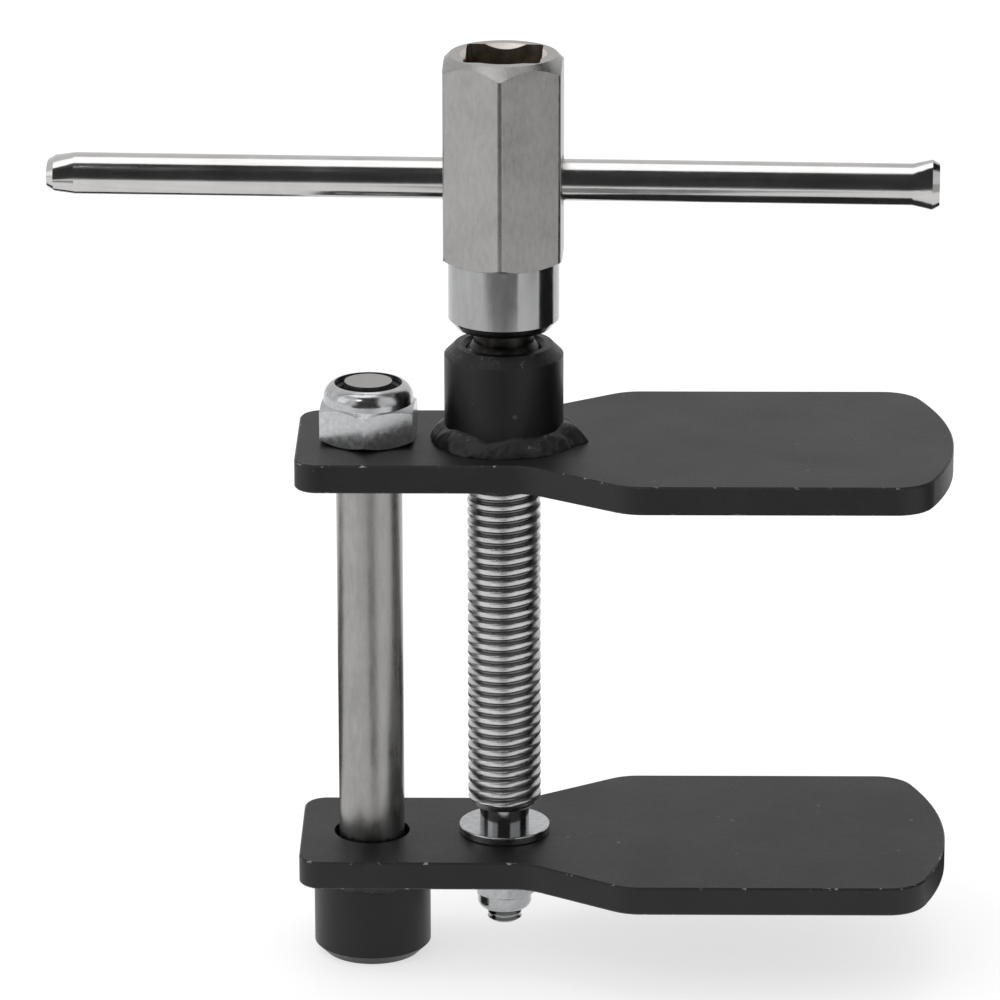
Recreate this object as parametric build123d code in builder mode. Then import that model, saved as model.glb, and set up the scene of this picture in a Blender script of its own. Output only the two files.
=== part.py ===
"""Brake caliper piston spreader: two paddle jaws on a screw, guided by a post.

Frame: millimetres, +Z up along the drive screw. The origin is on the screw's axis
at the bottom of the guide sleeve. +X runs from the screw towards the paddle tips.
The jaws are fully open, which is the rest pose. Turning the screw clockwise, seen
from above, drives the upper jaw up the screw and spreads the jaws.
"""

import os
from math import cos, radians, sin, tan

from build123d import *

# ---- Driving dimensions, mm -------------------------------------------------
# Jaw plates, both alike, laser-cut from 5 mm plate
plate_thickness = 5.0
plate_left = -35.5  # squared end beside the guide post
plate_tip = 77.0  # crown of the rounded tip
shank_width = 31.5  # narrow end that carries the screw and the post
paddle_width = 54.0  # wide end that presses on the piston or pad
flare_start = 4.0
flare_end = 21.0
tip_radius = 60.0
tip_corner_radius = 7.0
flare_radius = 9.0
end_corner_radius = 4.0

# Welded tubes: threaded boss on the upper jaw, plain sleeve under the lower jaw
tube_diameter = 20.4
tube_length = 17.0
tube_chamfer = 1.8
weld_leg = 3.0
weld_puddles = 13

# Heights along the screw
sleeve_bottom = 0.0
lower_bottom = sleeve_bottom + tube_length
lower_top = lower_bottom + plate_thickness
open_gap = 67.2  # clear height between the jaws in the rest pose
upper_bottom = lower_top + open_gap
upper_top = upper_bottom + plate_thickness
boss_top = upper_top + tube_length
collar_bottom = boss_top + 3.2
hex_bottom = collar_bottom + 11.9
hex_top = hex_bottom + 35.7

# Drive screw, 1/2-13 UNC thread under a hexagon head with a square recess
thread_diameter = 12.7
thread_pitch = 25.4 / 13
thread_root_radius = thread_diameter / 2 - 0.6134 * thread_pitch
boss_bore = 12.9  # clears the crests of the screw
hex_across_flats = 20.0
hex_chamfer_radius = 9.2
square_size = 12.9  # for a 1/2 inch square drive
square_depth = 15.5
square_lead_in = 0.9
collar_diameter = 19.0
collar_chamfer = 1.3
neck_diameter = 8.6
thread_end = lower_top + 5.3
journal_diameter = 6.0
screw_stud_pitch = 1.0
stud_end = lower_bottom - 11.5
head_turn = -2.6  # degrees the head stands turned about the screw's axis

# Sliding T-bar with swaged ends
bar_diameter = 7.1
bar_length = 151.0
bar_offset = -1.9  # the bar sits pushed a little to one side
bar_height = hex_top - 21.8
bar_hole_diameter = 7.9
swage_length = 4.6
swage_wide = 8.7
swage_narrow = 6.0

# Guide post with a shouldered M10 stud
post_x = -23.2
post_diameter = 11.4
post_bottom = sleeve_bottom + 1.2
post_stud_diameter = 10.0
post_stud_pitch = 1.5
post_stud_top = upper_top + 10.2
post_hole_diameter = 13.2  # clearance hole in the lower jaw
sleeve_bore = 11.58
screw_hole_upper = 14.0
journal_hole_lower = 6.16

# Washers and lock nuts
thrust_washer_diameter = 15.8
thrust_washer_thickness = 1.5
nut_washer_diameter = 12.0
nut_washer_thickness = 1.2
end_play = 0.1  # lets the screw turn under its lock nut
M10_nut = {"flats": 16.0, "height": 9.9, "collar": 3.2, "rim": 15.4, "mouth": 11.6}
M6_nut = {"flats": 10.0, "height": 7.8, "collar": 2.7, "rim": 9.4, "mouth": 7.2}

os.makedirs("parts", exist_ok=True)


# ---- Shared shapes ----------------------------------------------------------
def jaw_outline():
    """Outline of a jaw plate: narrow square end, flare, wide paddle with a rounded tip."""
    shank = shank_width / 2
    paddle = paddle_width / 2
    shoulder_x = plate_tip - (tip_radius - (tip_radius**2 - paddle**2) ** 0.5)
    with BuildSketch() as outline:
        with BuildLine():
            Polyline(
                (shoulder_x, -paddle),
                (flare_end, -paddle),
                (flare_start, -shank),
                (plate_left, -shank),
                (plate_left, shank),
                (flare_start, shank),
                (flare_end, paddle),
                (shoulder_x, paddle),
            )
            ThreePointArc((shoulder_x, paddle), (plate_tip, 0), (shoulder_x, -paddle))
        make_face()
        corners = outline.vertices()
        fillet(corners.filter_by(lambda v: v.X > 60), tip_corner_radius)
        corners = outline.vertices()
        fillet(corners.filter_by(lambda v: v.X < -30), end_corner_radius)
        corners = outline.vertices()
        bends = corners.filter_by(lambda v: abs(v.X - flare_start) < 0.1 or abs(v.X - flare_end) < 0.1)
        fillet(bends, flare_radius)
    return outline.sketch


def groove_points(diameter, pitch, bottom, top):
    """Half-section of a threaded length, from its lower end to its upper one.

    The thread is a row of 60 degree ring grooves one pitch apart, and both of its
    ends are turned down to a chamfer.
    """
    crest = diameter / 2
    depth = 0.6134 * pitch
    crest_flat = pitch / 8
    flank = depth * tan(radians(30))
    points = [(crest - depth, bottom)]
    z = bottom + flank
    while z + crest_flat + flank < top:
        points.append((crest, z))
        points.append((crest, z + crest_flat))
        points.append((crest - depth, z + crest_flat + flank))
        points.append((crest - depth, z + pitch - flank))
        z += pitch
    points[-1] = (crest - depth, top)
    # the first and the last crest are turned down by half
    points[1] = (crest - depth / 2, points[1][1])
    points[-3] = (crest - depth / 2, points[-3][1])
    return points


def weld_bead(base_z, grows_up):
    """Lumpy fillet weld around a tube standing on a plate face at z=base_z."""
    tube = tube_diameter / 2
    way = 1 if grows_up else -1
    with BuildPart() as bead:
        with BuildSketch(Plane.XZ):
            with BuildLine():
                toe = (tube + weld_leg * 0.95, base_z)
                crown = (tube + weld_leg * 0.60, base_z + way * weld_leg * 0.62)
                head = (tube, base_z + way * weld_leg)
                ThreePointArc(toe, crown, head)
                Polyline(head, (tube, base_z), toe)
            make_face()
        revolve(axis=Axis.Z)
        # overlapping puddles of uneven size and reach
        for step in range(weld_puddles):
            turn = 360 / weld_puddles * step + 7 * sin(radians(100 * step))
            reach = tube + weld_leg * (0.36 + 0.09 * sin(radians(137 * step)))
            size = weld_leg * (0.60 + 0.07 * cos(radians(83 * step)))
            spot = (reach * cos(radians(turn)), reach * sin(radians(turn)))
            with Locations((*spot, base_z + way * weld_leg * 0.34)):
                Sphere(size)
        with Locations((0, 0, base_z - way * 5)):
            Cylinder(30, 10, mode=Mode.SUBTRACT)
        with Locations((0, 0, base_z)):
            Cylinder(tube, 30, mode=Mode.SUBTRACT)
    return bead.part


def lock_nut(size, stud_diameter):
    """Nylon-insert lock nut standing on z=0: hexagon, domed collar, bore for its stud."""
    bore = stud_diameter / 2 + 0.06
    flats = size["flats"]
    corner = flats / 3**0.5
    hex_height = size["height"] - size["collar"]
    rim = size["rim"] / 2
    mouth = size["mouth"] / 2
    height = size["height"]
    dome = (rim - mouth) * 1.22  # height of the rolled collar's rounding
    with BuildPart() as nut:
        with BuildSketch():
            RegularPolygon(corner, 6, rotation=30)
        extrude(amount=height)
        # turned envelope: chamfered foot, chamfered shoulders and a rolled collar
        with BuildSketch(Plane.XZ):
            with BuildLine():
                Polyline(
                    (0, 0),
                    (flats / 2 * 0.95, 0),
                    (corner + 0.05, (corner - flats / 2 * 0.95) * 0.55),
                    (corner + 0.05, hex_height - (corner - rim) * 0.65),
                    (rim, hex_height),
                    (rim, height - dome),
                )
                crown = (rim - dome * 0.23, height - dome * 0.36)
                ThreePointArc((rim, height - dome), crown, (rim - dome * 0.72, height))
                Polyline((rim - dome * 0.72, height), (0, height), (0, 0))
            make_face()
        revolve(axis=Axis.Z, mode=Mode.INTERSECT)
        # plain bore, then the groove that grips the nylon ring
        with BuildSketch(Plane.XZ):
            with BuildLine():
                Polyline(
                    (0, 0),
                    (bore + 0.5, 0),
                    (bore, 0.5),
                    (bore, hex_height + 0.3),
                    (rim - 0.8, hex_height + 0.3),
                    (rim - 0.8, height - 0.9),
                    (mouth, height - 0.7),
                    (mouth, height),
                    (0, height),
                    close=True,
                )
            make_face()
        revolve(axis=Axis.Z, mode=Mode.SUBTRACT)
    return nut.part


def nylon_ring(size, stud_diameter):
    """The nylon insert held under a lock nut's rolled lip, in the nut's own frame."""
    inner = stud_diameter / 2 + 0.03
    low = size["height"] - size["collar"] + 0.32
    high = size["height"] - 0.95
    outer = size["rim"] / 2 - 0.82
    with BuildPart() as ring:
        with BuildSketch(Plane.XZ):
            with Locations(((inner + outer) / 2, (low + high) / 2)):
                Rectangle(outer - inner, high - low)
        revolve(axis=Axis.Z)
        mouths = ring.edges().filter_by(GeomType.CIRCLE).sort_by(SortBy.RADIUS)[0:2]
        chamfer(mouths, 0.25)
    return ring.part


# ---- Lower jaw --------------------------------------------------------------
with BuildPart() as lower_plate:
    with BuildSketch(Plane.XY.offset(lower_bottom)):
        add(jaw_outline())
    extrude(amount=plate_thickness)
    chamfer(lower_plate.edges().filter_by(Axis.Z, reverse=True), 0.3)
    with Locations((0, 0, lower_bottom + plate_thickness / 2)):
        Cylinder(journal_hole_lower / 2, plate_thickness * 2, mode=Mode.SUBTRACT)
    with Locations((post_x, 0, lower_bottom + plate_thickness / 2)):
        Cylinder(post_hole_diameter / 2, plate_thickness * 2, mode=Mode.SUBTRACT)

with BuildPart() as guide_sleeve:
    with BuildSketch(Plane.XY.offset(sleeve_bottom)):
        with Locations((post_x, 0)):
            Circle(tube_diameter / 2)
    extrude(amount=tube_length)
    foot = guide_sleeve.edges().filter_by(GeomType.CIRCLE).group_by(Axis.Z)[0]
    chamfer(foot, tube_chamfer)
    with BuildSketch(Plane.XY.offset(sleeve_bottom)):
        with Locations((post_x, 0)):
            Circle(sleeve_bore / 2)
    extrude(amount=tube_length, mode=Mode.SUBTRACT)
    mouths = guide_sleeve.edges().filter_by(GeomType.CIRCLE)
    mouths = mouths.filter_by(lambda e: abs(e.radius - sleeve_bore / 2) < 0.01)
    chamfer(mouths, 0.8)

with BuildPart() as sleeve_weld:
    with Locations((post_x, 0, 0)):
        add(weld_bead(lower_bottom, grows_up=False))

# ---- Drive screw and what turns with it -------------------------------------
thread_top = boss_top + 0.6
nut_washer_top = lower_bottom - end_play
nut_top = nut_washer_top - nut_washer_thickness
hex_corner = hex_across_flats / 3**0.5

with BuildPart() as screw_head:
    # hexagon with its top corners turned off at 45 degrees
    with BuildSketch(Plane.XY.offset(hex_bottom)):
        RegularPolygon(hex_corner, 6, rotation=30)
    extrude(amount=hex_top - hex_bottom)
    with BuildSketch(Plane.XZ):
        with BuildLine():
            Polyline(
                (0, hex_bottom),
                (hex_across_flats / 2 - 0.1, hex_bottom),
                (hex_corner + 0.1, hex_bottom + 1.0),
                (hex_corner + 0.1, hex_top - (hex_corner + 0.1 - hex_chamfer_radius)),
                (hex_chamfer_radius, hex_top),
                (0, hex_top),
                close=True,
            )
        make_face()
    revolve(axis=Axis.Z, mode=Mode.INTERSECT)
    # square recess with rounded corners and a countersunk lead-in
    with BuildSketch(Plane.XY.offset(hex_top)):
        RectangleRounded(square_size, square_size, 0.8)
    extrude(amount=-square_depth, mode=Mode.SUBTRACT)
    lead_radius = square_size / 2 + square_lead_in
    with BuildSketch(Plane.XZ):
        with BuildLine():
            Polyline(
                (0, hex_top + 0.1),
                (lead_radius + 0.1, hex_top + 0.1),
                (lead_radius - 1.4, hex_top - 1.4),
                (0, hex_top - 1.4),
                close=True,
            )
        make_face()
    revolve(axis=Axis.Z, mode=Mode.SUBTRACT)
    # cross hole for the T-bar, with both mouths eased
    with Locations(Location((0, 0, bar_height), (0, 90, 0))):
        Cylinder(bar_hole_diameter / 2, 40, mode=Mode.SUBTRACT)
    for side in (-1, 1):
        mouth = Location((side * (hex_across_flats / 2 - 0.2), 0, bar_height), (0, side * 90, 0))
        with Locations(mouth):
            Cone(bar_hole_diameter / 2, bar_hole_diameter / 2 + 0.6, 0.6, mode=Mode.SUBTRACT)

with BuildPart() as drive_screw:
    # one turned blank: stud, journal, neck, thread and collar
    with BuildSketch(Plane.XZ):
        with BuildLine():
            Polyline(
                (0, stud_end),
                *groove_points(journal_diameter, screw_stud_pitch, stud_end, nut_top - 0.4),
                (journal_diameter / 2, nut_top),
                (journal_diameter / 2, lower_top + thrust_washer_thickness),
                (neck_diameter / 2, lower_top + thrust_washer_thickness),
                (neck_diameter / 2, thread_end),
                *groove_points(thread_diameter, thread_pitch, thread_end, thread_top),
                (thread_root_radius, collar_bottom),
                (collar_diameter / 2 - collar_chamfer, collar_bottom),
                (collar_diameter / 2, collar_bottom + collar_chamfer * 1.2),
                (collar_diameter / 2, hex_bottom + 1),
                (0, hex_bottom + 1),
                close=True,
            )
        make_face()
    revolve(axis=Axis.Z)
    with Locations(Location((0, 0, 0), (0, 0, head_turn))):
        add(screw_head.part)

with BuildPart() as thrust_washer:
    with BuildSketch(Plane.XY.offset(lower_top)):
        Circle(thrust_washer_diameter / 2)
        Circle(journal_diameter / 2 + 0.1, mode=Mode.SUBTRACT)
    extrude(amount=thrust_washer_thickness)
    rims = thrust_washer.edges().filter_by(GeomType.CIRCLE).sort_by(SortBy.RADIUS)[-2:]
    fillet(rims, 0.25)

with BuildPart() as nut_washer:
    with BuildSketch(Plane.XY.offset(nut_washer_top)):
        Circle(nut_washer_diameter / 2)
        Circle(journal_diameter / 2 + 0.15, mode=Mode.SUBTRACT)
    extrude(amount=-nut_washer_thickness)
    rims = nut_washer.edges().filter_by(GeomType.CIRCLE).sort_by(SortBy.RADIUS)[-2:]
    fillet(rims, 0.2)

# the screw's lock nut hangs upside down under its washer
hanging = Location((0, 0, nut_top), (180, 0, -6))
with BuildPart() as screw_lock_nut:
    with Locations(hanging):
        add(lock_nut(M6_nut, journal_diameter))

with BuildPart() as screw_nut_insert:
    with Locations(hanging):
        add(nylon_ring(M6_nut, journal_diameter))

# ---- Sliding T-bar ----------------------------------------------------------
with BuildPart() as straight_bar:
    with BuildSketch(Plane.YZ.offset(bar_offset - bar_length / 2 + swage_length)):
        Circle(bar_diameter / 2)
    extrude(amount=bar_length - 2 * swage_length)
    # each end is pressed flat between dies, the two ends a quarter turn apart
    for side, across, tall in (
        (-1, swage_wide, swage_narrow),
        (1, swage_narrow, swage_wide),
    ):
        end = bar_offset + side * bar_length / 2
        with BuildSketch(Plane.YZ.offset(end - side * swage_length)):
            Circle(bar_diameter / 2)
        with BuildSketch(Plane.YZ.offset(end - side * 1.2)):
            Ellipse(across / 2, tall / 2)
        loft()
        with BuildSketch(Plane.YZ.offset(end - side * 1.2)):
            Ellipse(across / 2, tall / 2)
        with BuildSketch(Plane.YZ.offset(end)):
            Ellipse(across / 2 - 0.7, tall / 2 - 0.7)
        loft()

with BuildPart() as t_bar:
    with Locations(Location((0, 0, bar_height), (0, 0, head_turn))):
        add(straight_bar.part)

# ---- Upper jaw --------------------------------------------------------------
with BuildPart() as upper_plate:
    with BuildSketch(Plane.XY.offset(upper_bottom)):
        add(jaw_outline())
    extrude(amount=plate_thickness)
    chamfer(upper_plate.edges().filter_by(Axis.Z, reverse=True), 0.3)
    with Locations((0, 0, upper_bottom + plate_thickness / 2)):
        Cylinder(screw_hole_upper / 2, plate_thickness * 2, mode=Mode.SUBTRACT)
    with Locations((post_x, 0, upper_bottom + plate_thickness / 2)):
        Cylinder(post_stud_diameter / 2 + 0.05, plate_thickness * 2, mode=Mode.SUBTRACT)

with BuildPart() as threaded_boss:
    with BuildSketch(Plane.XY.offset(upper_top)):
        Circle(tube_diameter / 2)
    extrude(amount=tube_length)
    crown = threaded_boss.edges().filter_by(GeomType.CIRCLE).group_by(Axis.Z)[-1]
    chamfer(crown, tube_chamfer)
    # bore that clears the screw's crests, countersunk at both mouths
    with BuildSketch(Plane.XY.offset(upper_top)):
        Circle(boss_bore / 2)
    extrude(amount=tube_length, mode=Mode.SUBTRACT)
    mouths = threaded_boss.edges().filter_by(GeomType.CIRCLE)
    mouths = mouths.filter_by(lambda e: abs(e.radius - boss_bore / 2) < 0.01)
    chamfer(mouths, 0.7)

with BuildPart() as boss_weld:
    add(weld_bead(upper_top, grows_up=True))

with BuildPart() as post_blank:
    with BuildSketch(Plane.XZ):
        with BuildLine():
            Polyline(
                (0, post_bottom),
                (post_diameter / 2 - 1.0, post_bottom),
                (post_diameter / 2, post_bottom + 1.0),
                (post_diameter / 2, upper_bottom),
                (post_stud_diameter / 2, upper_bottom),
                (post_stud_diameter / 2, upper_top),
                *groove_points(post_stud_diameter, post_stud_pitch, upper_top, post_stud_top),
                (0, post_stud_top),
                close=True,
            )
        make_face()
    revolve(axis=Axis.Z)

with BuildPart() as guide_post:
    with Locations((post_x, 0, 0)):
        add(post_blank.part)

standing = Location((post_x, 0, upper_top), (0, 0, -4))
with BuildPart() as post_lock_nut:
    with Locations(standing):
        add(lock_nut(M10_nut, post_stud_diameter))

with BuildPart() as post_nut_insert:
    with Locations(standing):
        add(nylon_ring(M10_nut, post_stud_diameter))

# ---- Export -----------------------------------------------------------------
pieces = {
    "lower_plate": lower_plate,
    "guide_sleeve": guide_sleeve,
    "sleeve_weld": sleeve_weld,
    "drive_screw": drive_screw,
    "thrust_washer": thrust_washer,
    "nut_washer": nut_washer,
    "screw_lock_nut": screw_lock_nut,
    "screw_nut_insert": screw_nut_insert,
    "t_bar": t_bar,
    "upper_plate": upper_plate,
    "threaded_boss": threaded_boss,
    "boss_weld": boss_weld,
    "guide_post": guide_post,
    "post_lock_nut": post_lock_nut,
    "post_nut_insert": post_nut_insert,
}
for name, piece in pieces.items():
    piece.part.label = name
    export_step(piece.part, f"parts/{name}.step")
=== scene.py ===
import math

import bmesh
import bpy
from mathutils import Matrix, Vector, noise


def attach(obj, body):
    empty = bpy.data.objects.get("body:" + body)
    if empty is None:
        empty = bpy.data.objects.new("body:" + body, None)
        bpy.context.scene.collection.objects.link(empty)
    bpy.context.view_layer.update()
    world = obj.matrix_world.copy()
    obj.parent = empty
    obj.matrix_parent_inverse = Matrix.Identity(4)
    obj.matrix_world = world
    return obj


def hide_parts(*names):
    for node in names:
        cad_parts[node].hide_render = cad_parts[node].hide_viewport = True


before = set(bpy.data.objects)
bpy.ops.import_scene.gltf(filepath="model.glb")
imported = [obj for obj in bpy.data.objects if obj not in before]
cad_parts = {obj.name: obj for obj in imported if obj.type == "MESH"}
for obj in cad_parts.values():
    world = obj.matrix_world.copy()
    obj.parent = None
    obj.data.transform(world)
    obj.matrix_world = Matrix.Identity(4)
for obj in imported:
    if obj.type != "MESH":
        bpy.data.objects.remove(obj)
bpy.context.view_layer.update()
MM = 0.001

# the drive screw and the plates, millimetres
THREAD_DIAMETER = 12.7
THREAD_PITCH = 25.4 / 13
THREAD_LOW, THREAD_HIGH = 27.3, 111.8
RELIEF_LOW, COLLAR_BOTTOM = 111.0, 114.45
HEAD_BOTTOM = 126.0
HEX_CORNER_RADIUS = 11.547
RECESS_FLOOR = 146.0
LEAD_IN_BOTTOM = 160.0
POST_X = -23.2
LOWER_PLATE_BOTTOM = 17.0
UPPER_PLATE_TOP = 94.2
TUBE_RADIUS = 10.2

# material slots of the turned screw
HEXAGON, THREAD, COLLAR, RELIEF, RECESS, LEAD_IN = range(6)


# ---- Node material helpers --------------------------------------------------
class Surface:
    """A Principled material whose patterns are laid out in the piece's own metres."""

    def __init__(self, name):
        self.mat = bpy.data.materials.new(name)
        self.mat.use_nodes = True
        self.nodes = self.mat.node_tree.nodes
        self.links = self.mat.node_tree.links
        self.shader = self.nodes["Principled BSDF"]
        self.coords = self.nodes.new("ShaderNodeTexCoord")

    def fixed(self, **values):
        for key, value in values.items():
            self.shader.inputs[key.replace("_", " ")].default_value = value

    def feed(self, socket, output):
        self.links.new(output, self.shader.inputs[socket])

    def stretched(self, stretch):
        mapping = self.nodes.new("ShaderNodeMapping")
        mapping.inputs["Scale"].default_value = stretch
        self.links.new(self.coords.outputs["Object"], mapping.inputs["Vector"])
        return mapping.outputs["Vector"]

    def noise(self, scale, detail=3.0, stretch=(1, 1, 1), rough=0.55):
        node = self.nodes.new("ShaderNodeTexNoise")
        node.inputs["Scale"].default_value = scale
        node.inputs["Detail"].default_value = detail
        node.inputs["Roughness"].default_value = rough
        self.links.new(self.stretched(stretch), node.inputs["Vector"])
        return node.outputs["Fac"]

    def specks(self, scale, size):
        """Sparse round dots: 1 inside a dot, 0 elsewhere."""
        node = self.nodes.new("ShaderNodeTexVoronoi")
        node.inputs["Scale"].default_value = scale
        self.links.new(self.coords.outputs["Object"], node.inputs["Vector"])
        return self.ramp(node.outputs["Distance"], size * 0.6, 1.0, size, 0.0)

    def ramp(self, value, from_low, to_low, from_high, to_high):
        node = self.nodes.new("ShaderNodeMapRange")
        node.inputs["From Min"].default_value = from_low
        node.inputs["From Max"].default_value = from_high
        node.inputs["To Min"].default_value = to_low
        node.inputs["To Max"].default_value = to_high
        self.links.new(value, node.inputs["Value"])
        return node.outputs["Result"]

    def maths(self, operation, a, b):
        node = self.nodes.new("ShaderNodeMath")
        node.operation = operation
        for socket, value in zip(node.inputs, (a, b)):
            if isinstance(value, (int, float)):
                socket.default_value = value
            else:
                self.links.new(value, socket)
        return node.outputs[0]

    def mix(self, factor, dark, light):
        node = self.nodes.new("ShaderNodeMix")
        node.data_type = "RGBA"
        self.links.new(factor, node.inputs["Factor"])
        for key, value in (("A", dark), ("B", light)):
            socket = [s for s in node.inputs if s.name == key and s.type == "RGBA"][0]
            if isinstance(value, tuple):
                socket.default_value = (*value, 1.0)
            else:
                self.links.new(value, socket)
        return [s for s in node.outputs if s.type == "RGBA"][0]

    def bump(self, height, strength, distance):
        node = self.nodes.new("ShaderNodeBump")
        node.inputs["Strength"].default_value = strength
        node.inputs["Distance"].default_value = distance
        self.links.new(height, node.inputs["Height"])
        self.feed("Normal", node.outputs["Normal"])

    def slant(self):
        """1 on faces that slope at about 45 degrees to the vertical axis, 0 on flats and walls."""
        split = self.nodes.new("ShaderNodeSeparateXYZ")
        self.links.new(self.coords.outputs["Normal"], split.inputs["Vector"])
        upright = self.maths("ABSOLUTE", split.outputs["Z"], 0.0)
        off = self.maths("ABSOLUTE", self.maths("SUBTRACT", upright, 0.7), 0.0)
        return self.ramp(off, 0.15, 1.0, 0.25, 0.0)

    def clean_and_unshaded_thread(self, root, crest):
        """Mask of painted shade and residue on a thread: 1 on its crests and upper flanks, 0 in its root and
        on flanks that face down.
        """
        place = self.nodes.new("ShaderNodeSeparateXYZ")
        self.links.new(self.coords.outputs["Object"], place.inputs["Vector"])
        flat = self.nodes.new("ShaderNodeCombineXYZ")
        self.links.new(place.outputs["X"], flat.inputs["X"])
        self.links.new(place.outputs["Y"], flat.inputs["Y"])
        radius = self.nodes.new("ShaderNodeVectorMath")
        radius.operation = "LENGTH"
        self.links.new(flat.outputs["Vector"], radius.inputs[0])
        facing = self.nodes.new("ShaderNodeSeparateXYZ")
        self.links.new(self.coords.outputs["Normal"], facing.inputs["Vector"])
        # the root is darkened for oil residue and painted shade; flanks that face down get painted shade
        # from their facing
        raised = self.ramp(radius.outputs["Value"], root, 0.0, crest, 1.0)
        upward = self.ramp(facing.outputs["Z"], -0.75, 0.0, -0.45, 1.0)
        return self.maths("MULTIPLY", raised, upward)


def phosphate(name, dark, light, rough, wear, nicked):
    """Satin black coating with cloudy patches, fine grain and edges worn to bare steel."""
    s = Surface(name)
    clouds = s.noise(70, 4)
    grain = s.noise(1900, 3)
    tone = s.ramp(s.maths("ADD", clouds, s.maths("MULTIPLY", grain, 0.55)), 0.55, 0.0, 1.05, 1.0)
    coat = s.mix(tone, dark, light)
    chipped = s.ramp(s.noise(520, 3, rough=0.7), 0.60, 0.0, 0.68, 1.0)
    edge = s.maths("MULTIPLY", s.slant(), chipped)
    nicks = s.maths("MULTIPLY", s.specks(210, 0.10), s.ramp(s.noise(45, 1), 0.52, 0.0, 0.6, 1.0))
    worn = s.maths("ADD", s.maths("MULTIPLY", edge, wear), s.maths("MULTIPLY", nicks, nicked))
    bare = s.maths("MINIMUM", worn, 1.0)
    s.feed("Base Color", s.mix(bare, coat, (0.42, 0.40, 0.38)))
    s.feed("Metallic", s.maths("MULTIPLY", bare, 0.8))
    s.feed("Roughness", s.ramp(s.maths("ADD", clouds, grain), 0.6, rough - 0.06, 1.4, rough + 0.08))
    s.bump(s.maths("ADD", s.maths("MULTIPLY", grain, 0.6), s.noise(420, 2)), 0.22, 0.00012)
    s.fixed(Specular_IOR_Level=0.32)
    return s.mat


def plated(name, dark, light, rough, spread, grain, bump, stretch=(1, 1, 1), stain=0.0, thread=False):
    """Plated or ground steel: grain drawn out along one direction, blotches and faint dents."""
    s = Surface(name)
    lines = s.noise(grain, 3, stretch)
    blotch = s.noise(110, 4)
    tone = s.ramp(s.maths("ADD", lines, blotch), 0.75, 0.0, 1.25, 1.0)
    metal = s.mix(tone, dark, light)
    if stain:
        patch = s.ramp(s.noise(190, 4, rough=0.65), 0.56, 0.0, 0.74, stain)
        metal = s.mix(patch, metal, (0.22, 0.19, 0.16))
    if thread:
        # oil and black residue with painted shade in the thread's root, and painted shade on the flanks
        # under its crests
        metal = s.mix(s.clean_and_unshaded_thread(0.00566, 0.00590), (0.16, 0.16, 0.163), metal)
    s.feed("Base Color", metal)
    s.feed("Roughness", s.ramp(s.maths("ADD", lines, blotch), 0.7, rough - spread, 1.3, rough + spread))
    s.bump(s.maths("ADD", lines, s.maths("MULTIPLY", s.noise(260, 2), 0.8)), bump, 0.0001)
    s.fixed(Metallic=1.0)
    return s.mat


def nylon(name):
    """Dark moulded nylon with a faint grain."""
    s = Surface(name)
    s.feed("Base Color", s.mix(s.noise(700, 3), (0.012, 0.014, 0.02), (0.03, 0.034, 0.045)))
    s.feed("Roughness", s.ramp(s.noise(500, 2), 0.3, 0.38, 0.7, 0.55))
    s.bump(s.noise(1400, 2), 0.15, 0.0001)
    return s.mat


plate_black = phosphate(
    "plate_black", (0.006, 0.006, 0.0062), (0.014, 0.0138, 0.014), rough=0.46, wear=0.7, nicked=0.20)
tube_black = phosphate(
    "tube_black", (0.003, 0.0028, 0.0026), (0.008, 0.0076, 0.007), rough=0.40, wear=0.12, nicked=0.08)
weld_black = phosphate(
    "weld_black", (0.004, 0.004, 0.004), (0.016, 0.0155, 0.015), rough=0.44, wear=0.12, nicked=0.12)
screw_chrome = plated(
    "screw_chrome", (0.30, 0.294, 0.286), (0.36, 0.355, 0.348),
    rough=0.29, spread=0.04, grain=1500, bump=0.05, stretch=(1, 1, 0.35), stain=0.16)
collar_chrome = plated(
    "collar_chrome", (0.31, 0.312, 0.316), (0.37, 0.372, 0.376),
    rough=0.13, spread=0.03, grain=900, bump=0.03, stretch=(1, 1, 0.3), stain=0.06)
recess_dark = plated(
    "recess_dark", (0.20, 0.16, 0.13), (0.44, 0.37, 0.31),
    rough=0.42, spread=0.06, grain=700, bump=0.10)
# painted highlight: the recess's lead-in cone gets a far brighter metal than the rest of the screw
lead_in_highlight = plated(
    "lead_in_highlight", (0.62, 0.57, 0.53), (0.86, 0.81, 0.77),
    rough=0.50, spread=0.06, grain=800, bump=0.10)
# grease with painted shade: near black for the relief neck and the thread's end in the gap between collar
# and boss
grease_and_gap_shade = plated(
    "grease_and_gap_shade", (0.012, 0.011, 0.010), (0.05, 0.048, 0.045),
    rough=0.36, spread=0.06, grain=900, bump=0.10)
# thread=True adds painted shade and residue in the thread's root and on its down-facing flanks
thread_chrome = plated(
    "thread_chrome", (0.47, 0.47, 0.475), (0.60, 0.60, 0.605),
    rough=0.29, spread=0.04, grain=1200, bump=0.06, thread=True)
bar_chrome = plated(
    "bar_chrome", (0.47, 0.462, 0.455), (0.55, 0.545, 0.54),
    rough=0.15, spread=0.035, grain=1300, bump=0.05, stretch=(0.06, 1, 1))
zinc_bright = plated(
    "zinc_bright", (0.38, 0.385, 0.392), (0.52, 0.525, 0.535),
    rough=0.20, spread=0.06, grain=1100, bump=0.10)
ground_steel = plated(
    "ground_steel", (0.28, 0.274, 0.268), (0.35, 0.344, 0.338),
    rough=0.30, spread=0.05, grain=1300, bump=0.06, stretch=(1, 1, 0.25), stain=0.15)
dark_nylon = nylon("dark_nylon")

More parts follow.
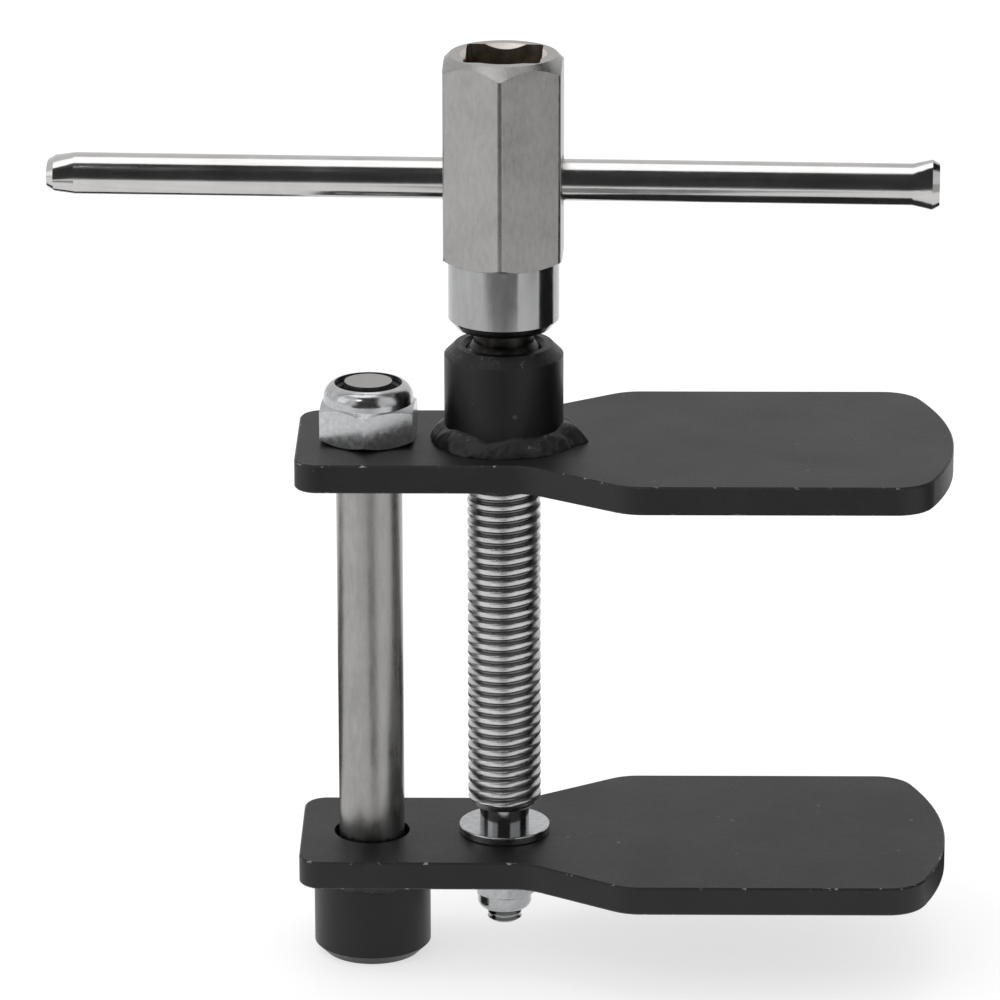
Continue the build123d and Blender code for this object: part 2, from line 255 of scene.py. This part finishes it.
finishes = {
    "lower_plate": plate_black,
    "upper_plate": plate_black,
    "guide_sleeve": tube_black,
    "threaded_boss": tube_black,
    "thrust_washer": zinc_bright,
    "nut_washer": zinc_bright,
    "screw_lock_nut": zinc_bright,
    "post_lock_nut": zinc_bright,
    "screw_nut_insert": dark_nylon,
    "post_nut_insert": dark_nylon,
    "t_bar": bar_chrome,
    "guide_post": ground_steel,
    "drive_screw": screw_chrome,
    "boss_weld": weld_black,
    "sleeve_weld": weld_black,
}
for node, finish in finishes.items():
    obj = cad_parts[node]
    obj.data.materials.clear()
    obj.data.materials.append(finish)


# ---- Drive screw: the CAD's turned shape with a real helical thread ----------
def add_helix(bm, diameter, pitch, bottom, top, slot, around=72):
    """Adds the skin of a right-hand thread to a bmesh, sizes in millimetres, its ends turned down."""
    crest = diameter / 2
    depth = 0.37 * pitch
    end_inset, end_slope = 1.15, 0.8
    # one pitch of the worn, plated profile: (share of the pitch, share of the depth)
    profile = (
        (0.00, 1.00), (0.13, 0.99), (0.20, 0.95), (0.25, 0.84), (0.38, 0.14),
        (0.44, 0.0), (0.56, 0.0), (0.62, 0.14), (0.75, 0.84), (0.80, 0.95), (0.87, 0.99),
    )
    turns = int((top - bottom) / pitch) + 3
    start = bottom - pitch
    rows = []
    for turn in range(turns):
        for along, height in profile:
            rows.append((start + (turn + along) * pitch, crest - depth * (1 - height)))
    count = len(profile)
    columns = []
    for step in range(around):
        angle = 2 * math.pi * step / around
        column = []
        for z, radius in rows:
            height = z + pitch * step / around
            inside = min(max(height, bottom), top)
            taper = crest - end_inset + min(inside - bottom, top - inside) * end_slope
            reach = min(radius, taper)
            place = (reach * math.cos(angle) * MM, reach * math.sin(angle) * MM, inside * MM)
            column.append(bm.verts.new(place))
        columns.append(column)
    for step in range(around):
        here = columns[step]
        # the last column meets the first one a turn further up
        there = columns[0][count:] if step == around - 1 else columns[step + 1]
        for row in range(min(len(here), len(there)) - 1):
            face = bm.faces.new((here[row], there[row], there[row + 1], here[row + 1]))
            face.material_index = slot
            face.smooth = True


def screw_zone(face):
    """Material slot of a face of the CAD screw."""
    middle = face.calc_center_median() / MM
    radius = math.hypot(middle.x, middle.y)
    # the lead-in cone takes the painted-highlight metal
    if middle.z > LEAD_IN_BOTTOM and radius < 7.4 and 0.5 < face.normal.z < 0.9:
        return LEAD_IN
    if middle.z > RECESS_FLOOR and radius < 7.2:
        if middle.z < RECESS_FLOOR + 1 or abs(face.normal.z) < 0.3:
            return RECESS
    if middle.z > HEAD_BOTTOM:
        return HEXAGON
    # the relief neck under the collar takes the near-black grease and painted shade
    if RELIEF_LOW < middle.z < COLLAR_BOTTOM and radius < 7.0:
        return RELIEF
    return COLLAR


def turned_screw():
    """The CAD screw's head, collar and journal, with its grooves swapped for a helix."""
    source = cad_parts["drive_screw"]
    bm = bmesh.new()
    bm.from_mesh(source.data)
    bmesh.ops.remove_doubles(bm, verts=bm.verts, dist=2e-6)
    grooves = []
    for face in bm.faces:
        height = face.calc_center_median().z / MM
        if THREAD_LOW + 0.05 < height < THREAD_HIGH - 0.05:
            grooves.append(face)
    bmesh.ops.delete(bm, geom=grooves, context="FACES")
    bmesh.ops.dissolve_limit(bm, angle_limit=math.radians(0.5), verts=bm.verts, edges=bm.edges)
    # ease the hexagon's upright edges
    upright = []
    for edge in bm.edges:
        low, high = edge.verts[0].co / MM, edge.verts[1].co / MM
        along = (high - low).normalized() if (high - low).length > 1e-6 else Vector((1, 0, 0))
        radius = math.hypot(low.x, low.y)
        on_corner = abs(radius - HEX_CORNER_RADIUS) < 0.05 and min(low.z, high.z) > HEAD_BOTTOM
        if abs(along.z) > 0.999 and on_corner:
            upright.append(edge)
    bmesh.ops.bevel(
        bm, geom=upright, offset=0.6 * MM, segments=3, profile=0.5, affect="EDGES", clamp_overlap=True)
    for face in bm.faces:
        face.smooth = True
        face.material_index = screw_zone(face)
    add_helix(bm, THREAD_DIAMETER, THREAD_PITCH, THREAD_LOW, THREAD_HIGH, THREAD)
    # the turned-down end above the boss is painted near black, for grease and for painted shade in the gap
    # under the collar
    for face in bm.faces:
        if face.material_index == THREAD and face.calc_center_median().z > 110.6 * MM:
            face.material_index = RELIEF
    bmesh.ops.remove_doubles(bm, verts=bm.verts, dist=1e-6)
    mesh = bpy.data.meshes.new("screw_turned")
    bm.to_mesh(mesh)
    bm.free()
    # the CAD mesh's stored normals no longer fit the bevelled faces
    stored = mesh.attributes.get("custom_normal")
    if stored:
        mesh.attributes.remove(stored)
    mesh.set_sharp_from_angle(angle=math.radians(28))
    for finish in (screw_chrome, thread_chrome, collar_chrome, grease_and_gap_shade, recess_dark, lead_in_highlight):
        mesh.materials.append(finish)
    piece = bpy.data.objects.new("screw_turned", mesh)
    bpy.context.collection.objects.link(piece)
    return piece


screw = turned_screw()
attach(screw, "screw")
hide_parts("drive_screw")


# ---- Weld beads ---------------------------------------------------------------
def weld_bead(name, centre_x, base, way, nub_angle):
    """A fillet weld round a tube that stands on a plate: uneven toe, ripples and one tail-out lump.

    way is 1 where the tube rises from the plate's face at height base, and -1 where it hangs.
    """
    around, across = 300, 18
    ripples = 17
    sunk = 0.05  # how far the bead goes into the plate
    seat = TUBE_RADIUS - 0.15  # and into the tube
    bm = bmesh.new()
    rings = []
    for step in range(around):
        turn = 2 * math.pi * step / around
        out = Vector((math.cos(turn), math.sin(turn), 0))
        drift = noise.noise(out * 1.6 + Vector((0, 0, way * 4.0)))
        reach = 2.6 + 0.55 * drift + 0.25 * noise.noise(out * 6.5)
        climb = 3.1 + 0.9 * noise.noise(out * 2.3 + Vector((5.0, way, 0)))
        gap = math.atan2(math.sin(turn - nub_angle), math.cos(turn - nub_angle))
        nub = math.exp(-((gap / 0.16) ** 2)) + 0.45 * math.exp(-(((gap - 0.5) / 0.12) ** 2))
        phase = turn * ripples / (2 * math.pi) + 0.6 * noise.noise(out * 3.1)
        ripple = abs(math.sin(math.pi * phase)) ** 0.7
        ring = []
        for level in range(across + 1):
            s = level / across
            body = 1 - 0.05 * math.sin(math.pi * s)
            lift = math.sin(s * math.pi / 2) ** 1.3
            away = math.cos(s * math.pi / 2) ** 1.3
            rough = 0.34 * noise.noise(out * 5 + Vector((0, 0, s * 1.6)))
            rough += 0.07 * noise.noise(out * 20 + Vector((3, 0, s * 5)))
            swell = (0.08 * ripple + rough) * math.sin(math.pi * min(1, s + 0.12))
            radius = seat + (reach * body + 1.7 * nub * (1 - s)) * away + swell
            height = -sunk + climb * body * lift + swell + 0.7 * nub * math.sin(math.pi * s)
            radius = max(radius, seat)
            height = max(height, -sunk)
            ring.append(bm.verts.new((
                (centre_x + radius * out.x) * MM,
                radius * out.y * MM,
                (base + way * height) * MM,
            )))
        ring.append(bm.verts.new((
            (centre_x + seat * out.x) * MM,
            seat * out.y * MM,
            (base - way * sunk) * MM,
        )))
        rings.append(ring)
    for step in range(around):
        here, there = rings[step], rings[(step + 1) % around]
        for level in range(len(here)):
            nxt = (level + 1) % len(here)
            face = bm.faces.new((here[level], there[level], there[nxt], here[nxt]))
            face.smooth = True
    bmesh.ops.recalc_face_normals(bm, faces=bm.faces)
    mesh = bpy.data.meshes.new(name)
    bm.to_mesh(mesh)
    bm.free()
    mesh.materials.append(weld_black)
    piece = bpy.data.objects.new(name, mesh)
    bpy.context.collection.objects.link(piece)
    return piece


boss_bead = weld_bead("boss_bead", 0.0, UPPER_PLATE_TOP, 1, math.radians(-8))
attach(boss_bead, "upper_jaw")
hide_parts("boss_weld")
sleeve_bead = weld_bead("sleeve_bead", POST_X, LOWER_PLATE_BOTTOM, -1, math.radians(115))
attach(sleeve_bead, "lower_jaw")
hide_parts("sleeve_weld")


# ---- Studio ------------------------------------------------------------------
def card(name, corners, shade):
    """A strip of stage card of one brightness, which reflections see and the camera doesn't."""
    mesh = bpy.data.meshes.new(name)
    faces = [(i, i + 1, i + 3, i + 2) for i in range(0, len(corners) - 2, 2)]
    mesh.from_pydata(corners, [], faces)
    mat = bpy.data.materials.new(name)
    mat.use_nodes = True
    shader = mat.node_tree.nodes["Principled BSDF"]
    shader.inputs["Base Color"].default_value = (0, 0, 0, 1)
    shader.inputs["Roughness"].default_value = 1.0
    shader.inputs["Specular IOR Level"].default_value = 0.0
    shader.inputs["Emission Color"].default_value = (1, 1, 1, 1)
    shader.inputs["Emission Strength"].default_value = shade
    mesh.materials.append(mat)
    obj = bpy.data.objects.new(name, mesh)
    bpy.context.collection.objects.link(obj)
    obj.visible_camera = False
    obj.visible_diffuse = False
    obj.visible_shadow = False


# the studio's dark front leans over the table; low cards and a flag stand nearer the object
card("front_wall", [
    (-0.95, -1.5, -0.02), (0.80, -1.5, -0.02),
    (-0.95, -1.5, 0.80), (0.80, -1.5, 0.80),
    (-0.85, -1.1, 1.50), (0.75, -1.1, 1.50),
    (-0.75, -0.52, 1.80), (0.65, -0.52, 1.80),
], 0.045)
card("ledge_high", [
    (-0.31, -0.35, 0.045), (0.20, -0.35, 0.045),
    (-0.31, -0.35, 0.135), (0.20, -0.35, 0.135),
], 0.05)
card("ledge_low", [
    (-0.31, -0.35, 0.0), (0.20, -0.35, 0.0),
    (-0.31, -0.35, 0.045), (0.20, -0.35, 0.045),
], 0.33)
card("side_card", [
    (0.20, -0.24, 0.045), (0.20, -0.24, 0.13),
    (0.27, -0.08, 0.045), (0.27, -0.08, 0.13),
], 0.55)
card("right_flag", [
    (0.25, -0.055, 0.0), (0.25, -0.055, 0.5),
    (0.25, 0.165, 0.0), (0.25, 0.165, 0.5),
], 0.02)

# cards on the floor, which the thread, the post and the T-bar reflect
card("floor_card_left", [
    (-0.25, 0.050, 0.001), (-0.045, 0.050, 0.001),
    (-0.25, 0.150, 0.001), (-0.045, 0.150, 0.001),
], 0.04)
card("floor_card_right", [
    (0.03, 0.012, 0.001), (0.25, 0.012, 0.001),
    (0.03, 0.130, 0.001), (0.25, 0.130, 0.001),
], 0.04)
card("floor_card_front", [
    (-0.05, -0.24, 0.001), (0.05, -0.24, 0.001),
    (-0.02, -0.08, 0.001), (0.02, -0.08, 0.001),
], 0.30)

floor_mesh = bpy.data.meshes.new("floor")
floor_mesh.from_pydata([(-8, -8, 0), (8, -8, 0), (8, 8, 0), (-8, 8, 0)], [], [(0, 1, 2, 3)])
floor_look = Surface("floor_pale")
floor_look.feed("Base Color", floor_look.mix(floor_look.noise(3, 2), (0.42, 0.42, 0.42), (0.44, 0.44, 0.44)))
floor_look.fixed(Roughness=0.9, Specular_IOR_Level=0.1, Emission_Color=(1, 1, 1, 1), Emission_Strength=0.64)
floor_mesh.materials.append(floor_look.mat)
floor = bpy.data.objects.new("floor", floor_mesh)
bpy.context.collection.objects.link(floor)

world = bpy.data.worlds.new("studio")
world.use_nodes = True
world.node_tree.nodes["Background"].inputs["Color"].default_value = (1.0, 1.0, 1.0, 1.0)
world.node_tree.nodes["Background"].inputs["Strength"].default_value = 0.86
bpy.context.scene.world = world


def softbox(name, place, target, size, power):
    data = bpy.data.lights.new(name, "AREA")
    data.shape = "RECTANGLE"
    data.size, data.size_y = size
    data.energy = power
    lamp = bpy.data.objects.new(name, data)
    lamp.location = place
    lamp.rotation_mode = "QUATERNION"
    lamp.rotation_quaternion = (Vector(target) - Vector(place)).to_track_quat("-Z", "Y")
    bpy.context.collection.objects.link(lamp)


softbox("top_light", (-0.15, 0.15, 1.9), (0, 0, 0.05), (1.5, 1.1), 6)
softbox("left_light", (-1.6, -0.5, 0.9), (0, 0, 0.08), (0.9, 1.1), 2)
softbox("spark", (-0.55, -0.95, 1.25), (0, 0, 0.1), (0.22, 0.22), 1.2)

# ---- Camera at the photograph's angle ----------------------------------------
target = Vector((-0.000695, 0.0, 0.08293))
azimuth, elevation, distance = math.radians(0.75), math.radians(18.46), 1.053
back = Vector((
    math.sin(azimuth) * math.cos(elevation),
    -math.cos(azimuth) * math.cos(elevation),
    math.sin(elevation),
))
lens = bpy.data.cameras.new("camera")
lens.sensor_width = 36.0
lens.lens = 220.3
lens.clip_start, lens.clip_end = 0.05, 50.0
camera = bpy.data.objects.new("camera", lens)
camera.rotation_mode = "QUATERNION"
camera.location = target + back * distance
turn = (-back).to_track_quat("-Z", "Y").to_matrix() @ Matrix.Rotation(math.radians(-0.10), 3, "Z")
camera.rotation_quaternion = turn.to_quaternion()
bpy.context.collection.objects.link(camera)
bpy.context.scene.camera = camera
bpy.context.scene.view_settings.view_transform = "Standard"
bpy.context.scene.view_settings.look = "None"
